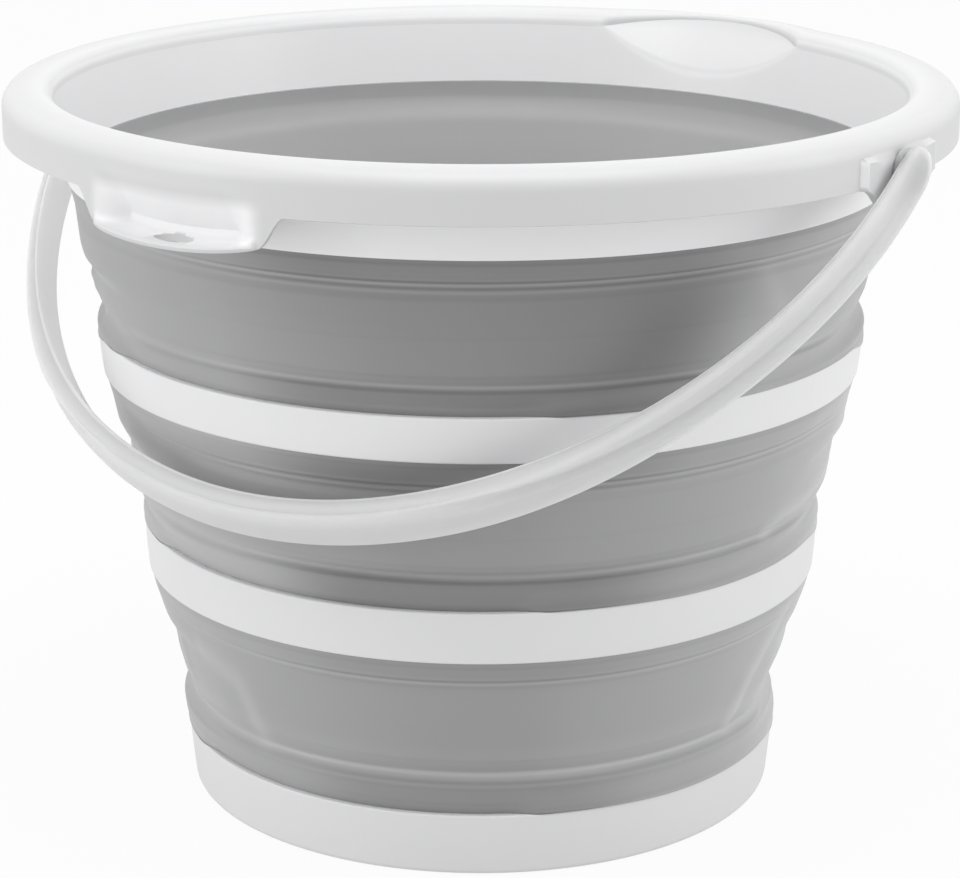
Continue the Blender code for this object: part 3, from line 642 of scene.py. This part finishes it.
def spout_foot(start_r, start_z, ramp_r, ramp_z, bend):
    """The soft bend from the mouth's wall into the spout's ramp, and the ramp."""
    before = Vector((mouth_radius(start_z - bend), start_z - bend))
    corner, after = Vector((start_r, start_z)), Vector((start_r, start_z))
    reach = math.hypot(ramp_r - start_r, ramp_z - start_z)
    if reach > 1e-5:
        slope = Vector((ramp_r - start_r, ramp_z - start_z)) / reach
        after += slope * min(bend, reach * 0.45)
    points = [tuple(bow(before, corner, after, t)) for t in (0.0, 0.25, 0.5, 0.75, 1.0)]
    return points + [tuple(after.lerp(Vector((ramp_r, ramp_z)), t)) for t in (0.35, 0.7)]


def rim_section(azimuth):
    """Points of the half section, each with how much painted light it has: over the outer
    round, down the skirt, up inside it, along the roof, round the band, up the mouth and over the
    lip."""
    # How far each feature is present here, 0 to 1
    spout = max(0.0, 1 - (wrapped(azimuth - math.pi / 2) / SPOUT_HALF) ** 2)
    off_tab = abs(wrapped(azimuth + math.pi / 2))
    tab = float(1 - rise(off_tab, TAB_HALF, TAB_RUN))
    lip = max(0.0, 1 - (off_tab / TAB_HALF) ** 4) ** 0.5
    hollow = TAB_UNDERCUT * float(fall(off_tab / TAB_HALF, 1, 0.34))
    off_pad = abs(PAD_X * math.sin(azimuth))
    pad_drop = float(soft_step(1 - (off_pad - PAD_HALF + PAD_RUN) / PAD_RUN))

    # The lip, which the spout lowers into a ramp
    lip_start = TOP_Z - LIP_ROUND
    start_z = lip_start - SPOUT_DEPTH * spout
    start_r = mouth_radius(start_z)
    ramp_z = lip_start + LIP_ROUND * 0.6 * spout
    ramp_r = start_r + (ramp_z - start_z) / math.tan(SPOUT_SLOPE)
    lip_w = LIP_ROUND * (1 - 0.45 * spout)
    outer_r = SKIRT_R + SPOUT_REACH * spout
    round_w = SKIRT_ROUND * (1 - 0.5 * spout)
    round_z = TOP_Z - SKIRT_ROUND

    def top_surface(radius):
        if radius <= ramp_r:
            return start_z + (radius - start_r) * math.tan(SPOUT_SLOPE)
        if radius <= ramp_r + lip_w:
            share = 1 - (radius - ramp_r) / lip_w
            return ramp_z + (TOP_Z - ramp_z) * math.sqrt(1 - share * share)
        if radius >= outer_r - round_w:
            share = (radius - outer_r + round_w) / round_w
            return round_z + SKIRT_ROUND * math.sqrt(max(0.0, 1 - share * share))
        return TOP_Z

    # The roof's underside, a wall's thickness below the top, more under the slanting ramp
    cavity_r, skirt_in = start_r + WALL, outer_r - SKIRT_WALL
    slant = 1 + (1 / math.cos(SPOUT_SLOPE) - 1) * min(1.0, 4 * spout)
    roof = []
    for i in range(9):
        radius = cavity_r + (skirt_in - cavity_r) * i / 8
        roof.append((radius, top_surface(radius) - WALL * (slant if radius <= ramp_r else 1)))

    # The skirt, with the tab's hollow and shelf, or a pad's flat
    arch = TAB_ARCH * min(1.0, (off_tab / TAB_HALF) ** 2)
    foot_z = SKIRT_Z - (TAB_DROP - arch) * tab - PAD_DROP * pad_drop
    face_r, wall = SKIRT_R, SKIRT_WALL
    if off_pad <= PAD_HALF + GAP / 10:
        face_r, wall = PAD_X / abs(math.cos(azimuth)), PAD_WALL
    root_r, drop = face_r - hollow, round_z - foot_z
    plate = EDGE + (TAB_PLATE - EDGE) * lip
    face = tab_face(face_r, round_z, foot_z, hollow, lip, plate)
    back = [(root_r - wall + EDGE * 0.3, foot_z), (root_r - wall, foot_z + EDGE * 0.4),
            (root_r - wall, foot_z + plate + drop * 0.16),
            (face_r - hollow * 0.42 - wall, round_z - drop * 0.45)]
    outer_round = arc(outer_r - round_w, round_z, round_w, SKIRT_ROUND, 90, 0, 12)
    lip_round = arc(ramp_r + lip_w, ramp_z, lip_w, TOP_Z - ramp_z, 180, 90, 10)

    # The band round the soft wall's top, with the recess that the wall sits in
    recess, recess_z = BAND_R - 0.0013, BAND_Z + 0.0048
    root = min(SKIRT_Z + 0.002, start_z - 0.004)
    band = rounded([(BAND_R + (root - BAND_Z) * 0.14, root), (BAND_R, BAND_Z), (recess, BAND_Z),
                    (recess, recess_z), (mouth_radius(recess_z), recess_z)],
                   [0.0, 0.0006, 0.0, 0.0, 0.0], 4)
    bend = 0.0006 + 0.0026 * math.sqrt(spout)
    blend = spout_foot(start_r, start_z, ramp_r, ramp_z, bend)
    mouth_top = start_z - bend - 0.0004
    mouth = [(mouth_radius(z), z) for z in np.linspace(BAND_Z + 0.0052, mouth_top, 6)]

    # Painted light: the band under the skirt, the mouth and the tab's hollow are painted paler
    # where shade falls, the spout's bend, the ramp and the lip a little, and each pad's step gets a
    # painted highlight
    at_step = abs(off_pad - PAD_HALF - PAD_STEP / 2) < PAD_STEP / 2 + 0.0001
    step = 1.0 if at_step else 0.0
    in_tab = 0.85 * float(fall(off_tab / TAB_HALF, 1.1, 0.25))
    parts = ((outer_round, 0.0), (face[:2], max(step, 0.2 * hollow / TAB_UNDERCUT)),
             (face[2:8], max(step, in_tab)), (face[8:] + back + roof[::-1], 0.0), (band, 1.0),
             (mouth + blend[:2], 0.6), (blend[2:4], 0.3), (blend[4:], 0.2 if spout else 0.5),
             (lip_round[:4], 0.05 if spout else 0.5), (lip_round[4:-1], 0.2))
    return [(point, tone) for points, tone in parts for point in points]


def rim_angles():
    """Even steps, with the places added where the section changes quickly."""
    even, at_tab, least, places = 288, 46, 0.0012, 6
    angles = set(np.round(np.linspace(0, 2 * np.pi, even, endpoint=False), places))
    pad_end, step = math.asin(PAD_HALF / PAD_X), math.asin((PAD_HALF + PAD_STEP) / PAD_X)
    near_pad = (pad_end, step, pad_end - 0.002, pad_end - 0.005, step + 0.002)
    near_tab = np.linspace(0, TAB_HALF + TAB_RUN, at_tab)
    for middle, offsets in ((0.0, near_pad), (math.pi, near_pad), (-math.pi / 2, near_tab)):
        for side in (-1, 1):
            for offset in offsets:
                angles.add(round((middle + side * offset) % (2 * math.pi), places))
    kept = []
    for angle in sorted(angles):
        if not kept or angle - kept[-1] > least:
            kept.append(angle)
    return kept


def make_rim():
    """The rim's skin, with its pivot holes and the hanging slot cut through the wall."""
    rows, tones = [], []
    for a in rim_angles():
        section = rim_section(a)
        rows.append([(r * math.cos(a), r * math.sin(a), z) for (r, z), tone in section])
        tones.append([tone for point, tone in section])
    made = skin("rim_moulding", rows, RIM_WHITE, RIM_SHARP, tones=("painted_light_share", tones))
    cutters = []
    for side in (-1, 1):
        bpy.ops.mesh.primitive_cylinder_add(
            vertices=64, radius=STUD_R + GAP, depth=0.010,
            location=(side * (PAD_X - PAD_WALL / 2), 0, PIVOT_Z), rotation=(0, math.pi / 2, 0))
        cutters.append(bpy.context.object)
    middle = SKIRT_R + TAB_REACH - SLOT_MARGIN - SLOT_D / 2
    bpy.ops.mesh.primitive_cylinder_add(
        vertices=64, radius=SLOT_D / 2, depth=0.006,
        location=(0, -middle, SKIRT_Z - TAB_DROP + TAB_PLATE / 2))
    bpy.context.object.scale = (SLOT_W / SLOT_D, 1, 1)
    cutters.append(bpy.context.object)
    for cutter in cutters:
        cut = made.modifiers.new("hole", "BOOLEAN")
        cut.operation, cut.solver, cut.object = "DIFFERENCE", "EXACT", cutter
    bpy.context.view_layer.update()
    graph = bpy.context.evaluated_depsgraph_get()
    mesh = bpy.data.meshes.new_from_object(made.evaluated_get(graph))
    made.modifiers.clear()
    made.data = mesh
    for cutter in cutters:
        bpy.data.objects.remove(cutter)
    mesh.materials.clear()
    mesh.materials.append(RIM_WHITE)
    shade(mesh, RIM_SHARP)
    return made


rim = make_rim()


# Bail handle: a grooved strap with round ears and snap studs
def make_handle():
    """The handle is drawn hanging straight down, and each point is placed where it leans. Share
    runs along the hoop from one pivot at -1 to the other at 1, with the grip at 0."""
    lean_c, lean_s = math.cos(LEAN), math.sin(LEAN)
    half = STRAP_W / 2
    edges = (1.0, 0.985, 0.96, 0.925, 0.88, 0.82, 0.74, 0.60)
    across = sorted({-e for e in edges} | set(edges) | {i / 20 for i in range(-17, 13)})
    outer_round, inner_round, sag = 0.0013, 0.0008, 0.0005
    bead_y, bead_w = -0.0042, 0.0006
    rows, lights = [], []

    def placed(x, y, z):
        """From the handle hanging straight down to where it leans on the wall."""
        return (x, y * lean_c + z * lean_s, PIVOT_Z - y * lean_s + z * lean_c)

    def strap_row(share, centre, outward, past, thick, groove):
        """One section, and its painted light; past is how far it stands beyond the pivot, on the
        rounded end. The groove lies on the upper corner under the grip, and out on the flat towards
        the pivots, where a low bead runs along the other side."""
        along = abs(share)
        width = math.sqrt(max(half * half - past * past, (half * 0.03) ** 2))
        on_flat = float(rise(along, 0.15, 0.50))
        groove_at, spread = -width * on_flat, 0.0024 - 0.0010 * on_flat
        # Painted light: the outer face a little paler under the grip, the upper edge a little, and
        # the inner face, which lies in the bucket's shade, fully
        lit = 0.06 + 0.14 * float(fall(along, 0.55, 0.30))
        upper_lit = 0.10 * float(fall(along, 0.60, 0.30))
        bead = 0.0003 * float(rise(along, 0.40, 0.2) * fall(along, 0.95, 0.1))

        def eased(y, radius):
            inset = min(max(half - math.hypot(past, y), 0.0), radius)
            return radius - math.sqrt(radius * radius - (radius - inset) ** 2)

        # Outer face, upper edge and inner face; each point with its place round the upper corner
        # and its painted light
        section = []
        for t in across:
            y = t * width
            raised = bead * math.exp(-((y - bead_y) / bead_w) ** 2)
            x = thick - sag * t * t - eased(y, outer_round) + raised
            section.append((x, y, y - width, lit))
        corner = thick - outer_round - sag
        for t in (0.12, 0.30, 0.50, 0.70, 0.88):
            section.append((corner + (inner_round - corner) * t,
                            width + 0.0002 * (1 - (2 * t - 1) ** 2), corner * t, upper_lit))
        for t in across[::-2]:
            section.append((eased(t * width, inner_round), t * width, 1.0, 1.0))
        points, tones = [], []
        for x, y, place, tone in section:
            dip = groove * math.exp(-((place - groove_at) / spread) ** 2)
            turn = math.pi / 2 * float(rise(place, -0.002, 0.004))
            x, y = x - dip * math.cos(turn), y - dip * math.sin(turn)
            points.append(placed(*(centre + outward * x + Vector((0, -1, 0)) * y)))
            tones.append(tone)
        rows.append(points)
        lights.append(tones)

    def round_end(side, first, last):
        """The half round beyond one pivot, from one turn in degrees to another."""
        for turn in np.linspace(first, last, 16):
            past = half * math.sin(math.radians(turn))
            strap_row(side, Vector((side * HOOP_X, 0, past)), Vector((side, 0, 0)), past,
                      LIMB_THICK, 0.0)

    round_end(-1.0, 89, 4)
    for share in np.linspace(-1, 1, 193):
        angle = share * math.pi / 2
        grip = float(fall(abs(share), 0.72, 0.45))
        groove = (0.0011 + 0.0004 * grip) * float(fall(abs(share), 0.97, 0.16))
        centre = Vector((HOOP_X * math.sin(angle), 0, -HOOP_R * math.cos(angle)))
        outward = Vector((HOOP_R * math.sin(angle), 0, -HOOP_X * math.cos(angle))).normalized()
        strap_row(share, centre, outward, 0.0, LIMB_THICK + (GRIP_THICK - LIMB_THICK) * grip,
                  groove)
    round_end(1.0, 4, 89)
    strap = skin("bail_strap", rows, HANDLE_WHITE, HANDLE_SHARP, closed=False,
                 tones=("painted_light_share", lights))

    # Each ear is a hub sunk in the strap, a stud through the pad and a head behind it
    hub, sunk = PAD_X + GAP, HOOP_X + 0.0006
    head = PAD_X - PAD_WALL - GAP
    end = head - HEAD_L
    ear = rounded([(0.0, sunk), (EAR_R - 0.0008, sunk), (EAR_R - 0.0006, hub), (STUD_R, hub),
                   (STUD_R, head), (HEAD_R, head), (STUD_R * 0.8, end), (0.0, end)],
                  [0.0, 0.0004, 0.0004, 0.0002, 0.0002, 0.0006, 0.0006, 0.0], 5)
    meshes = [strap.data]
    for side in (-1, 1):
        turns = []
        for a in np.linspace(0, 2 * math.pi, 72, endpoint=False):
            turns.append([placed(side * x, r * math.cos(a), r * math.sin(a)) for r, x in ear])
        piece = skin("bail_ear", turns, HANDLE_WHITE, HANDLE_SHARP)
        meshes.append(piece.data)
        bpy.data.objects.remove(piece)
    bm = bmesh.new()
    for mesh in meshes:
        bm.from_mesh(mesh)
    bm.to_mesh(strap.data)
    bm.free()
    strap.name = "bail_handle"
    shade(strap.data, HANDLE_SHARP)
    return strap


handle = make_handle()

# Each piece stands for its solid, which is hidden, and rides on its body
for piece, node, body, slot in (
    (base, "base", "base", "base"),
    (lower_ring, "lower_ring", "lower_ring", "ring"),
    (middle_ring, "middle_ring", "middle_ring", "ring"),
    (rim, "rim", "rim", "rim"),
    (handle, "handle", "handle", "handle"),
):
    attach(piece, body)
    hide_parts(node)
for piece, node, under, over, low, high in (
    (lower_wall, "lower_wall", "base", "lower_ring", BASE_H, LOW_FOOT_Z),
    (middle_wall, "middle_wall", "lower_ring", "middle_ring", LOW_TOP_Z, MID_FOOT_Z),
    (upper_wall, "upper_wall", "middle_ring", "rim", MID_TOP_Z, BAND_Z),
):
    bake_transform(piece)
    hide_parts(node)

# Studio: the world's light before, behind and above the bucket, and the soft boxes, each with its
# turn in degrees to the right of the camera, height, distance, size and power
FRONT_LIGHT, BACK_LIGHT, TOP_LIGHT = 0.60, 0.97, 1.10
SOFT_BOXES = (
    ("soft_box_top", 10, 1.9, 0.45, (1.5, 1.5), 13.0),
    ("soft_box_left", -68, 0.60, 1.5, (0.8, 1.2), 6.0),
    ("soft_box_right", 78, 0.60, 1.5, (0.8, 1.2), 5.0),
)
WHITE = (1, 1, 1, 1)


def make_floor():
    """A pale floor: white to the camera but for part of the bucket's shadow, and it throws light
    up."""
    mesh = bpy.data.meshes.new("studio_floor")
    reach, level = 6.0, -0.0002
    mesh.from_pydata([(-reach, -reach, level), (reach, -reach, level), (reach, reach, level),
                      (-reach, reach, level)], [], [(0, 1, 2, 3)])
    floor = bpy.data.objects.new("studio_floor", mesh)
    bpy.context.scene.collection.objects.link(floor)
    made = bpy.data.materials.new("studio_floor_white")
    made.use_nodes = True
    tree = made.node_tree
    tree.nodes.clear()
    seen = add(tree, "ShaderNodeLightPath").outputs["Is Camera Ray"]
    share = add(tree, "ShaderNodeMapRange", {"To Min": 0.45, "To Max": 0.93, "Value": seen})
    paint = add(tree, "ShaderNodeBsdfDiffuse", {"Color": linear("#D2D2D2")})
    glow = add(tree, "ShaderNodeEmission", {"Color": WHITE, "Strength": 1.0})
    mix = add(tree, "ShaderNodeMixShader", {0: share.outputs[0], 1: paint.outputs[0],
                                            2: glow.outputs[0]})
    add(tree, "ShaderNodeOutputMaterial", {"Surface": mix.outputs[0]})
    mesh.materials.append(made)


def make_world():
    """A white cove: bright behind and above the bucket, dim in the room behind the camera, and
    plain white to the camera itself."""
    world = bpy.data.worlds.new("studio")
    bpy.context.scene.world = world
    world.use_nodes = True
    tree = world.node_tree
    tree.nodes.clear()
    seen = add(tree, "ShaderNodeLightPath").outputs["Is Camera Ray"]
    way = add(tree, "ShaderNodeTexCoord").outputs["Generated"]
    back = (-math.sin(CAMERA_TURN), math.cos(CAMERA_TURN), 0.0)
    behind = add(tree, "ShaderNodeVectorMath", {"operation": "DOT_PRODUCT", 0: way, 1: back})
    cove = add(tree, "ShaderNodeMapRange", {
        "From Min": -0.75, "From Max": 0.35, "To Min": FRONT_LIGHT, "To Max": BACK_LIGHT,
        "Value": behind.outputs["Value"]})
    up = add(tree, "ShaderNodeSeparateXYZ", {0: way}).outputs["Z"]
    high = add(tree, "ShaderNodeMapRange", {"From Min": 0.30, "From Max": 0.90, "Value": up})
    level = add(tree, "ShaderNodeMix", {"data_type": "FLOAT", 0: high.outputs[0],
                                        2: cove.outputs[0], 3: TOP_LIGHT})
    soft = add(tree, "ShaderNodeBackground", {"Color": WHITE, "Strength": level.outputs[0]})
    plain = add(tree, "ShaderNodeBackground", {"Color": WHITE, "Strength": 1.0})
    mix = add(tree, "ShaderNodeMixShader", {0: seen, 1: soft.outputs[0], 2: plain.outputs[0]})
    add(tree, "ShaderNodeOutputWorld", {"Surface": mix.outputs[0]})


def make_soft_box(name, turn, height, distance, size, power):
    """A soft box aimed at the bucket's middle."""
    angle = CAMERA_TURN + math.radians(turn)
    place = Vector((distance * math.sin(angle), -distance * math.cos(angle), height))
    lamp = bpy.data.lights.new(name, "AREA")
    lamp.shape, lamp.size, lamp.size_y, lamp.energy = "RECTANGLE", size[0], size[1], power
    made = bpy.data.objects.new(name, lamp)
    made.location = place
    made.rotation_euler = (Vector((0, 0, 0.13)) - place).to_track_quat("-Z", "Y").to_euler()
    bpy.context.scene.collection.objects.link(made)


def make_camera():
    """The camera at the photograph's viewing angle."""
    camera = bpy.data.cameras.new("camera")
    camera.sensor_width, camera.lens = SENSOR_W, SENSOR_W * FOCAL / PICTURE_W
    camera.shift_x = SHIFT / PICTURE_W
    made = bpy.data.objects.new("camera", camera)
    turn_s, turn_c = math.sin(CAMERA_TURN), math.cos(CAMERA_TURN)
    made.location = (CAMERA_DISTANCE * turn_s, -CAMERA_DISTANCE * turn_c, CAMERA_HEIGHT)
    aim = Vector((-turn_s * math.cos(CAMERA_PITCH), turn_c * math.cos(CAMERA_PITCH),
                  -math.sin(CAMERA_PITCH)))
    made.rotation_euler = aim.to_track_quat("-Z", "Y").to_euler()
    bpy.context.scene.collection.objects.link(made)
    bpy.context.scene.camera = made


make_floor()
make_world()
for box in SOFT_BOXES:
    make_soft_box(*box)
make_camera()
bpy.context.scene.view_settings.view_transform = "Standard"
